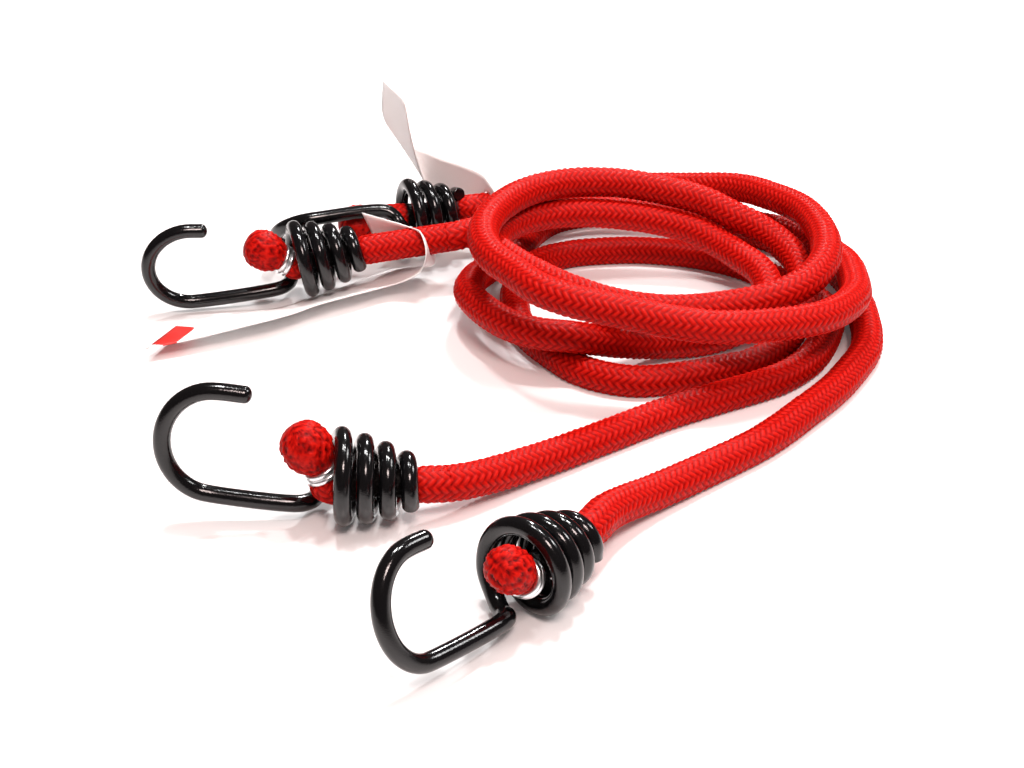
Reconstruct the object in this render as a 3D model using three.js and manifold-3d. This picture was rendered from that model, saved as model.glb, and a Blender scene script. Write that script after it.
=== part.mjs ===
// A pair of hooked elastic cords, coiled together on a table: two braided cords, four spiral wire hooks,
// four crimp rings and two paper tags. Millimetres, +Z up, the table is z = 0.
import * as THREE from 'three';
import { mergeVertices } from 'three/addons/utils/BufferGeometryUtils.js';
import Module from 'manifold-3d';

// Cord sizes
const CORD_R = 4.0;
const COVER_WALL = 1.1;
const CORE_GAP = 0.3;
const COVER_SIDES = 8;
const CORE_SIDES = 6;
const FACE_GAP = 0.3;
const FLOOR_Z = 3.2;
const MAX_STEP = 14;
const MAX_TURN = 0.285;
const FINE_STEP = 0.5;
const LAST_STEP = 3;
const EXIT_RUN = 3;
const ARC_STEPS = 3000;
const GAP_POINTS = 500;
const GAP_APART = 45;

// Hook wire sizes: a conical spiral, a straight shank and a half oval end
const WIRE_R = 1.25;
const COAT_GAP = 0.2;
const COAT_WALL = 0.5;
const COAT_R = WIRE_R + COAT_GAP + COAT_WALL;
const COAT_SIDES = 8;
const WIRE_SIDES = 6;
const MOUTH_R = 9.5;
const TAPER = 0.6;
const TAPER_MORE = 0.16;
const PITCH = 4.78;
const TURNS = 3.85;
const TURN_STEPS = 10;
const SPIRAL_END = 0.15;
const LEAN_FROM = 0.5;
const SHANK_DROP = 7.9;
const SHANK_JOIN = [[0.9, -4.1, -0.3], [2.3, -1.5, -0.1], [4.6, 0, 0]];
const BOW_STEPS = 7;
const TIP = [[0.9, 0.9], [1.5, 0.6]];
const FIT = 0.3;

// Swollen cord end and its crimp ring
const NECK_R = 2.7;
const BEND_FROM = -6.5;
const BEND_CORNER = -0.5;
const RING_BACK = 6.7;
const RING_WIRE = 0.75;
const RING_SIDES = 6;
const RING_STEPS = 14;
const CHOKE_R = 3.9;
const CHOKE_FROM = -10.5;
const CHOKE_TO = 2.5;
const CHOKE_GAP = 0.5;
// Cord swelling again behind the last coil: distance from the end of the spiral and radius
const SWELL = [[0.7, 2.4], [1.5, 2.85], [2.6, CORD_R]];
// Swollen end from the cut face back to the neck: distance from its middle and radius
const BULB = [[5.2, 2.6], [4.2, 4.2], [2.4, 5.3], [0.2, 5.65], [-2, 5.4], [-4, 4.5], [-5.3, 3.4],
  [-RING_BACK, NECK_R], [-8.1, 3.3], [-9.4, CHOKE_R]];
const BULB_ROOT = 2.2;

// Paper tags: their width follows from the hole and the paper beside it
const TAG_THICK = 0.4;
const TAG_HOLE_GAP = 0.35;
const HOLE_R = CORD_R + TAG_HOLE_GAP;
const HOLE_EDGE = 3.65;
const TAG_HALF = HOLE_R + HOLE_EDGE;
const HOLE_DEEP = 11;
const HOLE_SIDES = 16;
const WELD = 1e-4;

// The origin lies under the front floor strand of the coil
const ORIGIN_X = 32;
const ORIGIN_Y = -4;
const at = (x, y, z) => new THREE.Vector3(x - ORIGIN_X, y - ORIGIN_Y, z);
const deg = THREE.MathUtils.degToRad;

// Hooks where they lie: middle of the mouth, heading, rise, turn about the axis, how far the last half turn
// leans out, the bow as length of the shank, half length, half height, length of the arm and its droop,
// length of cord kept with the hook, and the swollen end as distance out of the mouth, offset and clock angle
const HOOKS = [
  {
    mouth: at(-61.6, 46.2, 13), yaw: 192, tilt: -4, roll: -1.4, lean: 0.3,
    bow: [27.4, 11.5, 10.8, 4.6, 0.6], tail: 43.5, bulb: [7, 4.5, 90],
  },
  {
    mouth: at(-33.5, 74.1, 14.4), yaw: 196, tilt: 0, roll: 128.7, lean: 0.8,
    bow: [25.4, 10.6, 13.2, 6, 0.9], tail: 33, bulb: [12.5, 1, -45],
  },
  {
    mouth: at(-39.9, -59.8, 11.5), yaw: 181, tilt: 8.5, roll: 4.8, lean: 1.7,
    bow: [25.1, 11.1, 12.5, 5.7, 0], tail: 25.6, bulb: [5.3, 6.7, 90],
  },
  {
    mouth: at(0.7, -94.5, 11.4), yaw: 226, tilt: 5.8, roll: 21, lean: 1,
    bow: [24.9, 9.1, 11.2, 4.3, 0], tail: 25.6, bulb: [4.8, 5, 57],
  },
];

// Cord routes between the two hooks of each cord, and the length of free cord next to each hook
const ROUTE_A = [
  [0, 68.6, 15], [20, 78.6, 14], [42, 81, 12.6], [62, 77.5, 11.6], [79, 70, 11.8], [87, 60, 12],
  [92.5, 46, 13], [92, 30.5, 15], [88.5, 14, 17.5], [78, -1, 20], [63.5, -9.3, 22], [47, -14, 24],
  [26.5, -11, 26.5], [14, -7.8, 28], [6, -2.5, 28.7], [0.5, 6, 28.8], [-4.5, 14, 28.8],
  [-7.5, 25, 28.8], [-6.8, 37, 28.8], [-2.5, 49, 28.8], [5, 59, 28.8], [15, 65, 28.6], [26, 67, 28.2],
  [37, 67, 27], [54.5, 63.3, 24], [63, 59.5, 21], [70, 56.5, 18.5], [75.5, 52, 16], [79.5, 43, 13.8],
  [79.5, 30, 10], [73.5, 17, 5.5], [66.5, 8.5, 3.4], [60.5, 3.8, FLOOR_Z], [54, 1.4, FLOOR_Z],
  [45, -1.8, FLOOR_Z], [32, -4.4, FLOOR_Z], [23.5, -2.2, FLOOR_Z], [16.8, 2.3, FLOOR_Z],
  [11, 9.6, FLOOR_Z], [5.6, 18.4, FLOOR_Z], [1.8, 28, FLOOR_Z], [0.8, 36.6, FLOOR_Z],
  [0.9, 46, FLOOR_Z], [3.4, 57.5, FLOOR_Z], [8.6, 66.5, FLOOR_Z], [17.4, 71.6, FLOOR_Z],
  [26.5, 73.6, FLOOR_Z], [39, 74.2, FLOOR_Z], [52.7, 71.4, FLOOR_Z], [60.4, 68, FLOOR_Z],
  [68, 62.8, FLOOR_Z], [78.5, 51, FLOOR_Z], [85.5, 40, FLOOR_Z], [87, 31, FLOOR_Z],
  [84.7, 22.4, FLOOR_Z], [81, 13.4, FLOOR_Z], [76.8, 6, FLOOR_Z], [69, -2.2, FLOOR_Z],
  [61.4, -7.1, FLOOR_Z], [52.5, -11.8, FLOOR_Z], [36, -21.1, FLOOR_Z], [25.3, -28.5, FLOOR_Z],
  [11.2, -38.7, 3.5], [4, -44.3, 4], [-4, -51.5, 5],
];
const ROUTE_B = [
  [12, 88, 14], [26, 93.5, 14], [39, 95.5, 15], [53, 91, 17], [67, 83, 20], [76, 70, 22.3],
  [82.5, 57, 23.5], [84.6, 40, 24], [83.3, 28, 24], [80.7, 20, 24], [76, 12.7, 23.4], [69, 7.2, 22.4],
  [61.6, 5.2, 21], [53.4, 4.7, 19.7], [45, 4.7, 18.8], [35, 6, 18.4], [22.6, 10.5, 18.8], [9, 21, 19.6],
  [0, 32, 20], [-4.6, 40, 20.1], [-4.6, 47, 20.1], [-1, 54, 20.1], [6.6, 59.8, 20.4], [19, 62.9, 20.4],
  [32, 63.3, 19.4], [43, 62.2, 18], [52.2, 59.7, 16.4], [59.6, 54.8, 14], [64.5, 48.5, 13], [69, 41, 12],
  [70, 31, 9.8], [63, 22.5, 5.6], [52.3, 17.5, 3.6], [40.5, 13.6, 4.5], [28.9, 8.4, 7.5],
  [22.5, 5.8, 9.6], [15, 3.7, 11.8], [6.2, 5.3, 12], [-0.4, 9.6, 11.9], [-7.5, 19.1, 11.7],
  [-11.6, 29.7, 11.2], [-10.9, 39.6, 10], [-7.4, 50.8, 8], [-5, 61, 5.4], [2, 75, FLOOR_Z],
  [7, 88, FLOOR_Z], [14, 97, FLOOR_Z], [26, 101.5, FLOOR_Z], [41, 101, FLOOR_Z], [57, 96, FLOOR_Z],
  [73, 87, FLOOR_Z], [87.5, 73, FLOOR_Z],
  [95.5, 57, FLOOR_Z], [96.8, 40, FLOOR_Z], [96.3, 31, FLOOR_Z], [95, 20, FLOOR_Z],
  [92.7, 11.5, FLOOR_Z], [89, 4.5, FLOOR_Z], [81, -8, FLOOR_Z], [72, -18.8, FLOOR_Z],
  [59.6, -32.5, FLOOR_Z], [43.7, -45.4, FLOOR_Z], [31, -55.5, 4], [23, -65.5, 5.6],
];
const CORDS = [
  { name: 'A', route: ROUTE_A, hooks: [0, 2], leads: [49.5, 135] },
  { name: 'B', route: ROUTE_B, hooks: [1, 3], leads: [49.5, 130] },
];

// Tags in the axes of their hook (along the cord, sideways, up): middle of the strip, and which way half its
// width goes, as a share of TAG_HALF
const TAGS = [
  {
    hook: 0,
    hole: -38.6,
    strip: [
      [[-23.6, -6, 2.2], [0.2625, 0.2, 0.9]], [[-30.2, -6, -1.2], [0.125, 0.325, 0.9]],
      [[-35.8, -4.6, -2], [0.05, 0.525, 0.825]], [[-38.6, 0, -0.6], [0, 0.65, 0.7]],
      [[-38.4, 2.6, -4.6], [0, 0.775, 0.625]], [[-35.2, 0.6, -8.4], [0, 0.925, 0.35]],
      [[-27.5, -3.2, -11.2], [0.025, 0.9875, 0.175]], [[-15.7, 1.8, -10.8], [0.0125, 0.9375, 0.25]],
      [[-5.5, 6.2, -10.2], [0.05, 0.95, 0.3]], [[4, 11.6, -9.3], [0, 0.9625, 0.3125]],
      [[15, 14.6, -8.4], [0.175, 0.9875, 0.2375]], [[25.5, 17.2, -7.6], [0.325, 0.9375, 0.1375]],
      [[34.4, 18.8, -7.2], [0.875, 1, 0.125]],
    ],
  },
  {
    hook: 1,
    hole: -27.5,
    strip: [
      [[-28.6, 8.2, -1.6], [0, 0, 0.875]], [[-28, 4, -0.6], [0, 0, 0.975]],
      [[-27.5, 0, 0], [0, 0, 1]], [[-26.5, -4.5, 0.8], [0, 0, 1]],
      [[-22.5, -8.8, 2.2], [0.05, 0, 1]], [[-14, -12.2, 5.8], [0.15, -0.05, 0.9875]],
      [[-7.5, -14.4, 11.4], [0.425, -0.325, 0.85]], [[-4.2, -15.6, 20], [0.4, -0.8, 0.45]],
      [[-3.2, -16, 33], [0.175, -0.975, 0.075]],
    ],
  },
];

// Looks
const BRAID_RED = 0xd3190f;
const WOVEN = { roughness: 0.75, metalness: 0 };
const RUBBER_TAN = 0xd8c9a0;
const RUBBER = { roughness: 0.9, metalness: 0 };
const VINYL_BLACK = 0x101012;
const VINYL = { roughness: 0.25, metalness: 0 };
const WIRE_GREY = 0x9a9ca0;
const DRAWN_WIRE = { roughness: 0.4, metalness: 1 };
const RING_GREY = 0xc8ccd0;
const BRIGHT_ZINC = { roughness: 0.3, metalness: 1 };
const PAPER_WHITE = 0xf4f2ef;
const PAPER = { roughness: 0.6, metalness: 0 };

const wasm = await Module();
wasm.setup();

const group = new THREE.Group();
const put = (name, geometry, colour, look) => {
  const mesh = new THREE.Mesh(geometry, new THREE.MeshStandardMaterial({ color: colour, ...look }));
  mesh.name = name;
  group.add(mesh);
};

// Axes of a hook: X along the cord toward the mouth, then places in the cross directions without and
// with the turn of the hook about that axis
function hookAxes({ mouth, yaw, tilt, roll }) {
  const y = deg(yaw);
  const t = deg(tilt);
  const r = deg(roll);
  const x = new THREE.Vector3(Math.cos(t) * Math.cos(y), Math.cos(t) * Math.sin(y), Math.sin(t));
  const side = new THREE.Vector3(-Math.sin(y), Math.cos(y), 0);
  const up = x.clone().cross(side);
  const turnedSide = side.clone().multiplyScalar(Math.cos(r)).addScaledVector(up, Math.sin(r));
  const turnedUp = up.clone().multiplyScalar(Math.cos(r)).addScaledVector(side, -Math.sin(r));
  const place = (b, c) => ([px, py, pz]) =>
    mouth.clone().addScaledVector(x, px).addScaledVector(b, py).addScaledVector(c, pz);
  return { x, still: place(side, up), turned: place(turnedSide, turnedUp) };
}

function tangents(points) {
  const last = points.length - 1;
  return points.map((p, i) => {
    const a = points[Math.max(0, i - 1)];
    const b = points[Math.min(last, i + 1)];
    return b.clone().sub(a).normalize();
  });
}

// Section axes that stay level, for cords
function levelFrames(dirs) {
  return dirs.map((t) => {
    const side = new THREE.Vector3(0, 0, 1).cross(t).normalize();
    return { side, rise: t.clone().cross(side) };
  });
}

// Section axes carried along without twist, for wires
function carriedFrames(dirs) {
  let side = new THREE.Vector3(0, 0, 1).cross(dirs[0]).normalize();
  return dirs.map((t) => {
    side = side.clone().addScaledVector(t, -side.dot(t)).normalize();
    return { side, rise: t.clone().cross(side) };
  });
}

function ring(p, { side, rise }, r, sides) {
  return Array.from({ length: sides }, (_, k) => {
    const f = (2 * Math.PI * (k + 0.5)) / sides - Math.PI / 2;
    return p.clone().addScaledVector(side, r * Math.cos(f)).addScaledVector(rise, r * Math.sin(f));
  });
}

// One closed skin: outer rings, and a bore that runs through or stops inside
function skin(outer, bore = [], blind = false) {
  const rows = [...outer, ...bore];
  const sides = outer[0].length;
  const index = [];
  const tri = (a, b, c, flip) => index.push(a, ...(flip ? [c, b] : [b, c]));
  const wall = (first, count, flip) => {
    for (let i = first; i < first + count - 1; i += 1) {
      for (let k = 0; k < sides; k += 1) {
        const n = (k + 1) % sides;
        tri(i * sides + k, i * sides + n, (i + 1) * sides + n, flip);
        tri(i * sides + k, (i + 1) * sides + n, (i + 1) * sides + k, flip);
      }
    }
  };
  const cap = (row, flip) => {
    for (let k = 1; k < sides - 1; k += 1) tri(row * sides, row * sides + k, row * sides + k + 1, flip);
  };
  const rim = (row, boreRow, flip) => {
    for (let k = 0; k < sides; k += 1) {
      const n = (k + 1) % sides;
      tri(row * sides + k, row * sides + n, boreRow * sides + n, flip);
      tri(row * sides + k, boreRow * sides + n, boreRow * sides + k, flip);
    }
  };
  const end = outer.length - 1;
  wall(0, outer.length, false);
  if (bore.length) {
    wall(outer.length, bore.length, true);
    rim(0, outer.length, true);
    if (blind) {
      cap(end, false);
      cap(rows.length - 1, true);
    } else {
      rim(end, rows.length - 1, false);
    }
  } else {
    cap(0, true);
    cap(end, false);
  }
  const geometry = new THREE.BufferGeometry();
  const numbers = rows.flat().flatMap((p) => p.toArray());
  geometry.setAttribute('position', new THREE.Float32BufferAttribute(numbers, 3));
  geometry.setIndex(index);
  return geometry;
}

// Braided cover with its bore, flat where it lies on the table, and the rubber core inside it
const boreOf = (r) => r - COVER_WALL;
const coreOf = (r) => boreOf(r) * Math.cos(Math.PI / COVER_SIDES) - CORE_GAP;
function cordPieces(name, points, dirs, radii) {
  const frames = levelFrames(dirs);
  const rings = (size, sides) => points.map((p, i) => ring(p, frames[i], size(radii[i]), sides));
  const outer = rings((r) => r, COVER_SIDES);
  for (const p of outer.flat()) p.z = Math.max(p.z, 0);
  put(`${name}_cover`, skin(outer, rings(boreOf, COVER_SIDES)), BRAID_RED, WOVEN);
  put(`${name}_core`, skin(rings(coreOf, CORE_SIDES)), RUBBER_TAN, RUBBER);
}

// Points along a curve, close together where it bends
function pace(curve, from, to) {
  const fine = Math.ceil((to - from) / FINE_STEP);
  const length = curve.getLength();
  const share = (i) => (from + ((to - from) * i) / fine) / length;
  const point = (i) => curve.getPointAt(THREE.MathUtils.clamp(share(i), 0, 1));
  const points = [point(0)];
  let turned = 0;
  let run = 0;
  let before = null;
  for (let i = 1; i <= fine; i += 1) {
    const step = point(i).sub(point(i - 1));
    run += step.length();
    const dir = step.normalize();
    turned += before ? before.angleTo(dir) : 0;
    before = dir;
    if (i === fine || ((turned > MAX_TURN || run > MAX_STEP) && fine - i > LAST_STEP / FINE_STEP)) {
      points.push(point(i));
      turned = 0;
      run = 0;
    }
  }
  return points;
}

// Least gap of a cord to itself, between points at least so many steps apart
function leastGap(points, apart) {
  let least = Infinity;
  points.forEach((p, i) => {
    for (const q of points.slice(i + apart)) least = Math.min(least, p.distanceTo(q));
  });
  return least - 2 * CORD_R;
}

// Spiral hook: steel wire inside a vinyl coat
const spiralR = (turn) => MOUTH_R - TAPER * turn - TAPER_MORE * turn * turn;
function hookPath({ lean, bow }) {
  const [shank, long, high, arm, droop] = bow;
  const path = [];
  const steps = Math.round((TURNS - SPIRAL_END) * TURN_STEPS);
  for (let i = 0; i <= steps; i += 1) {
    const turn = TURNS - i / TURN_STEPS;
    const r = spiralR(turn);
    const f = 2 * Math.PI * turn;
    const out = lean * Math.max(0, 1 - turn / LEAN_FROM);
    path.push([out - PITCH * turn, -r * Math.sin(f), -r * Math.cos(f)]);
  }
  path.push(...SHANK_JOIN.map(([x, y, z]) => [x + lean, y, z - SHANK_DROP]), [shank, 0, -SHANK_DROP]);
  for (let i = 1; i <= BOW_STEPS; i += 1) {
    const f = Math.PI * (i / BOW_STEPS - 0.5);
    path.push([shank + long * Math.cos(f), 0, high * (1 + Math.sin(f)) - SHANK_DROP]);
  }
  path.push([shank - arm, 0, 2 * high - SHANK_DROP - droop]);
  return path;
}

HOOKS.forEach((hook, n) => {
  const axes = hookAxes(hook);
  const path = hookPath(hook).map(axes.turned);
  const dirs = tangents(path);
  const frames = carriedFrames(dirs);
  const last = path.length - 1;
  const rings = (r, sides) => path.map((p, i) => ring(p, frames[i], r, sides));
  const beyond = (along) => path[last].clone().addScaledVector(dirs[last], along);
  const tip = (along, r) => ring(beyond(along), frames[last], r, COAT_SIDES);
  const coat = [...rings(COAT_R, COAT_SIDES), ...TIP.map(([along, r]) => tip(along, COAT_R * r))];
  const boreR = (WIRE_R + COAT_GAP) / Math.cos(Math.PI / COAT_SIDES);
  const bore = rings(boreR, COAT_SIDES);
  bore[last] = tip(COAT_GAP, boreR);
  put(`hook_${n + 1}_vinyl_coat`, skin(coat, bore, true), VINYL_BLACK, VINYL);
  put(`hook_${n + 1}_steel_wire`, skin(rings(WIRE_R, WIRE_SIDES)), WIRE_GREY, DRAWN_WIRE);
});

// Cord end: swollen cut end, neck through the ring, choked by the small coils, then full size again
function cordEnd(hook) {
  const axes = hookAxes(hook);
  const [out, off, clock] = hook.bulb;
  const aside = [off * Math.cos(deg(clock)), off * Math.sin(deg(clock))];
  const bend = new THREE.QuadraticBezierCurve3(
    axes.still([BEND_FROM, 0, 0]),
    axes.still([BEND_CORNER, 0, 0]),
    axes.still([out, ...aside]),
  );
  const bendLength = bend.getLength();
  const exit = bend.getTangentAt(1);
  const points = [];
  const radii = [];
  for (const [s, r] of [...BULB, [BULB_ROOT - bendLength, CHOKE_R]]) {
    const on = bend.getPointAt(THREE.MathUtils.clamp(1 + s / bendLength, 0, 1));
    points.push(s > 0 ? on.addScaledVector(exit, s) : on);
    radii.push(r);
  }
  const room = (x) => spiralR(Math.min(TURNS, -x / PITCH)) - COAT_R - CHOKE_GAP;
  const small = -PITCH * TURNS;
  const choked = [CHOKE_FROM, small + CHOKE_TO, small].map((x) => [x, Math.min(CORD_R, room(x))]);
  const swelling = [...SWELL.map(([d, r]) => [small - d, r]), [-hook.tail, CORD_R]];
  for (const [x, r] of [...choked, ...swelling]) {
    points.push(axes.still([x, 0, 0]));
    radii.push(r);
  }
  return { axes, points, radii, neck: bend, neckAt: 1 - RING_BACK / bendLength };
}

CORDS.forEach(({ name, route, hooks, leads }) => {
  const [first, last] = hooks.map((n) => HOOKS[n]);
  const exit = (hook) => [FACE_GAP, EXIT_RUN].map((d) => hookAxes(hook).still([-hook.tail - d, 0, 0]));
  const curve = new THREE.CatmullRomCurve3(
    [...exit(first), ...route.map((p) => at(...p)), ...exit(last).reverse()],
    false,
    'centripetal',
  );
  curve.arcLengthDivisions = ARC_STEPS;
  const length = curve.getLength();
  const [from1, to1] = [leads[0], length - leads[1]];
  const cuts = [[0, from1], [from1 + FACE_GAP, to1], [to1 + FACE_GAP, length]];
  const names = [`lead_${hooks[0] + 1}`, `coil_${name}`, `lead_${hooks[1] + 1}`];
  cuts.forEach(([from, to], i) => {
    const points = pace(curve, from, to);
    const dirs = tangents(points);
    dirs[0] = i > 0 ? curve.getTangentAt(from / length) : hookAxes(first).x.negate();
    dirs[dirs.length - 1] = i < 2 ? curve.getTangentAt(to / length) : hookAxes(last).x;
    cordPieces(names[i], points, dirs, points.map(() => CORD_R));
  });
  const spaced = curve.getSpacedPoints(GAP_POINTS);
  const gap = leastGap(spaced, Math.ceil((GAP_APART * GAP_POINTS) / length));
  console.log(`cord ${name}: length ${length.toFixed(0)} mm, least gap to itself ${gap.toFixed(2)} mm`);
  hooks.forEach((n) => {
    const end = cordEnd(HOOKS[n]);
    cordPieces(`end_${n + 1}`, end.points, tangents(end.points), end.radii);
    const torus = new THREE.TorusGeometry(NECK_R + FIT + RING_WIRE, RING_WIRE, RING_SIDES, RING_STEPS);
    torus.deleteAttribute('normal');
    torus.deleteAttribute('uv');
    const where = end.neck.getPointAt(end.neckAt);
    const facing = new THREE.Quaternion().setFromUnitVectors(
      new THREE.Vector3(0, 0, 1), end.neck.getTangentAt(end.neckAt));
    torus.applyQuaternion(facing).translate(where.x, where.y, where.z);
    put(`crimp_ring_${n + 1}`, mergeVertices(torus, WELD), RING_GREY, BRIGHT_ZINC);
  });
});

// Paper strip with a round hole where the cord passes through
const solid = (geometry) => {
  const g = geometry.clone();
  g.deleteAttribute('normal');
  g.deleteAttribute('uv');
  const m = mergeVertices(g, WELD);
  return new wasm.Manifold(new wasm.Mesh({
    numProp: 3,
    vertProperties: new Float32Array(m.attributes.position.array),
    triVerts: new Uint32Array(m.index.array),
  }));
};
TAGS.forEach(({ hook, hole, strip }, n) => {
  const axes = hookAxes(HOOKS[hook]);
  const middle = new THREE.CatmullRomCurve3(strip.map(([m]) => axes.still(m)), false, 'centripetal');
  const half = new THREE.CatmullRomCurve3(
    strip.map(([, w]) => axes.still(w).sub(HOOKS[hook].mouth).multiplyScalar(TAG_HALF)),
    false, 'centripetal');
  const stations = (strip.length - 1) * 2;
  const points = Array.from({ length: stations + 1 }, (_, i) => middle.getPoint(i / stations));
  const dirs = tangents(points);
  const rings = points.map((p, i) => {
    const w = half.getPoint(i / stations);
    const t = dirs[i].clone().cross(w).normalize().multiplyScalar(TAG_THICK / 2);
    return [[-1, -1], [1, -1], [1, 1], [-1, 1]].map(([a, b]) =>
      p.clone().addScaledVector(w, a).addScaledVector(t, b));
  });
  const drill = new THREE.CylinderGeometry(HOLE_R, HOLE_R, HOLE_DEEP, HOLE_SIDES);
  drill.applyQuaternion(new THREE.Quaternion().setFromUnitVectors(new THREE.Vector3(0, 1, 0), axes.x));
  const spot = axes.still([hole, 0, 0]);
  drill.translate(spot.x, spot.y, spot.z);
  const cut = solid(skin(rings)).subtract(solid(drill)).getMesh();
  const paper = new THREE.BufferGeometry();
  paper.setAttribute('position', new THREE.Float32BufferAttribute(cut.vertProperties, 3));
  paper.setIndex(Array.from(cut.triVerts));
  put(`paper_tag_${n + 1}`, paper, PAPER_WHITE, PAPER);
});

export default group;
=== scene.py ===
import math

import bpy
import numpy as np
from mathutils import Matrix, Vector


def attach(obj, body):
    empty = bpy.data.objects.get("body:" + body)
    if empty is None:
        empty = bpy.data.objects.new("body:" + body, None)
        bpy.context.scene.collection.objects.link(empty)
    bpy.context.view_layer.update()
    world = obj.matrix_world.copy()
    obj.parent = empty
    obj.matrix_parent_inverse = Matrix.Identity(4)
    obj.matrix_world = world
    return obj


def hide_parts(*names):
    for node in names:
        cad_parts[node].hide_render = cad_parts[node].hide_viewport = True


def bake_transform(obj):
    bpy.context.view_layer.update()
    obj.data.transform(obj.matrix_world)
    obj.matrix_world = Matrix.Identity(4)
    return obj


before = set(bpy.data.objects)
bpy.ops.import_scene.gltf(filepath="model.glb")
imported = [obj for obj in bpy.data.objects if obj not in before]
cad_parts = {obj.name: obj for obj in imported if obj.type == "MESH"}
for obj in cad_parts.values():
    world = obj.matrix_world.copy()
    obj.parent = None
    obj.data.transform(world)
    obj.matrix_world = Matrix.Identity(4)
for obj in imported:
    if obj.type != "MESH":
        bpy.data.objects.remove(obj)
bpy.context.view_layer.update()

MM = 0.001
ORIGIN = np.array([32.0, -4.0, 0.0])
SAME_POINT = 1e-4

# Directions that no wire starts along and no ring faces
ASLANT = (0.31, 0.17, 0.93)
RING_ASLANT = (0.2, 0.3, 0.93)

# Cord and its braid, in millimetres: yarns each way round, pitch along the cord, relief, lumps of cut cloth
CORD_R = 4.0
COVER_WALL = 1.1
CORE_GAP = 0.3
FLOOR_Z = 3.2
YARNS = 14
YARN_PITCH = 1.86
YARN_ROUND = 0.46
YARN_WAVE = 0.3
YARN_UNEVEN = 0.07
YARN_SUNK = 0.5
YARN_SIDES = 3
YARN_RINGS = 6
SIDES = YARN_SIDES * YARNS
RING_STEP = YARN_PITCH / YARN_RINGS
RELIEF_R = 3
LEAST_R = 0.05
LUMP = 1.5
LUMP_HIGH = 0.3
LUMP_MIX = [(LUMP, 0.62), (LUMP / 2.2, 0.5)]
LUMP_WAVES = 10
LUMP_EVEN = 3.2
LUMP_SEED = 7
# Tone of the cut ends' lumps, taken from their height: painted shade in the hollows
LUMP_TONE = [0.62, 0.5]
FACE_TONE = 0.3
CORE_SIDES = 16
CORE_STEP = 2.0
CORE_LEAST = 2.2
CORE_THIN = 0.6
TABLE_GAP = 0.03
SOFT_PASSES = 3
SOFT_RINGS = 4
JOIN = 8

# Hook wire and spiral
COAT_R = 1.95
COAT_SIDES = 28
WIRE_STEP = 0.45
WIRE_POINTS = 16
MOUTH_R = 9.5
TAPER = 0.6
TAPER_MORE = 0.16
PITCH = 4.78
TURNS = 3.85
TURN_STEPS = 10
SPIRAL_END = 0.15
LEAN_FROM = 0.5
SHANK_DROP = 7.9
SHANK_JOIN = [[0.9, -4.1, -0.3], [2.3, -1.5, -0.1], [4.6, 0, 0]]
BOW_STEPS = 12
TIP_ROUND = 1.6
TIP_STEPS = 7
TIP_LEAST = 0.12
BLUNT = 0.5
FIT = 0.1

# Swollen end, the ring on its neck and the choked cord behind: rows give distance along the cord and radius
NECK_R = 2.7
BEND_FROM = -12
RING_BACK = 6.7
RING_WIRE = 0.72
RING_TURNS = 1.92
RING_POINTS = 90
RING_SIDES = 14
NECK_SPAN = 0.2
END_POINTS = 24
AXIS_POINTS = 100
CHOKE_R = 3.9
CHOKE = [[-5, 3.1], [-15.5, 2.9]]
SWELL = [[-0.8, 2.75], [0.4, 3.2], [1.3, 3.8], [2.2, CORD_R]]
BULB = [[5.7, 0.3], [5.5, 1.7], [4.9, 3.2], [4.0, 4.3], [2.4, 5.2], [0.2, 5.6], [-2, 5.35], [-4, 4.5],
        [-5.3, 3.4], [-RING_BACK, NECK_R], [-8.1, 3.3], [-9.4, CHOKE_R]]
DOME_R = 5.2
RAGGED = 4.6
RAGGED_FADE = 2.0
FACE_GAP = 0.3

# Painted shade on the cord inside the spiral, where the coil's turns shade it: where that begins and ends
# behind the mouth, and its tone
SPIRAL_SHADE_SPAN = [1.5, PITCH * TURNS]
SPIRAL_SHADE_LIFT = -0.3

# Paper tags, and the red patch as length and half width inside its rounded edge, and that edge's radius
TAG_THICK = 0.32
HOLE_R = 4.35
HOLE_HALF = 5.5
HOLE_SIDES = 40
PATCH = [4.8, 4.9, 1.6]
NO_PATCH = 99.0
TAG_ROWS = 8
TAG_COLUMNS = 14

# Hooks where they lie: mouth, heading, rise, turn, lean of the last half turn, bow as length of the shank,
# half length, half height, length of the arm and its droop, cord kept with the hook and how much of it runs
# straight, swollen end's place, size and the way to it
HOOKS = {
    1: dict(mouth=(-61.6, 46.2, 13), yaw=192, tilt=-4, roll=-1.4, lean=0.3,
            bow=(27.4, 11.5, 10.8, 4.6, 0.6), tail=43.5, straight=46.5, bulb=(7, 0, 4.5), size=1,
            way=[(-8.5, 0, -0.6), (-4, 0, -1.6), (-0.6, 0, -1.4), (1.4, 0, 0.3)]),
    2: dict(mouth=(-33.5, 74.1, 14.4), yaw=196, tilt=0, roll=128.7, lean=0.8,
            bow=(25.4, 10.6, 13.2, 6, 0.9), tail=33, straight=36, bulb=(12.5, 0.7, -0.7), size=1,
            way=[(-6.5, 0, 0), (2, 0, 0)]),
    3: dict(mouth=(-39.9, -59.8, 11.5), yaw=181, tilt=8.5, roll=4.8, lean=1.7,
            bow=(25.1, 11.1, 12.5, 5.7, 0), tail=25.6, straight=17, bulb=(5.3, 0, 6.7), size=1,
            way=[(-8.5, 0, -0.9), (-4, 0, -2.5), (-0.4, 0, -2.9), (1.2, 0, 0.9)]),
    4: dict(mouth=(0.7, -94.5, 11.4), yaw=226, tilt=5.8, roll=21, lean=1,
            bow=(24.9, 9.1, 11.2, 4.3, 0), tail=25.6, straight=17, bulb=(4.8, 2.7, 4.2), size=0.84,
            way=[(-8.5, 0.2, -0.4), (-4, 1, -1.1), (-1, 2, -0.4)]),
}

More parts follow.
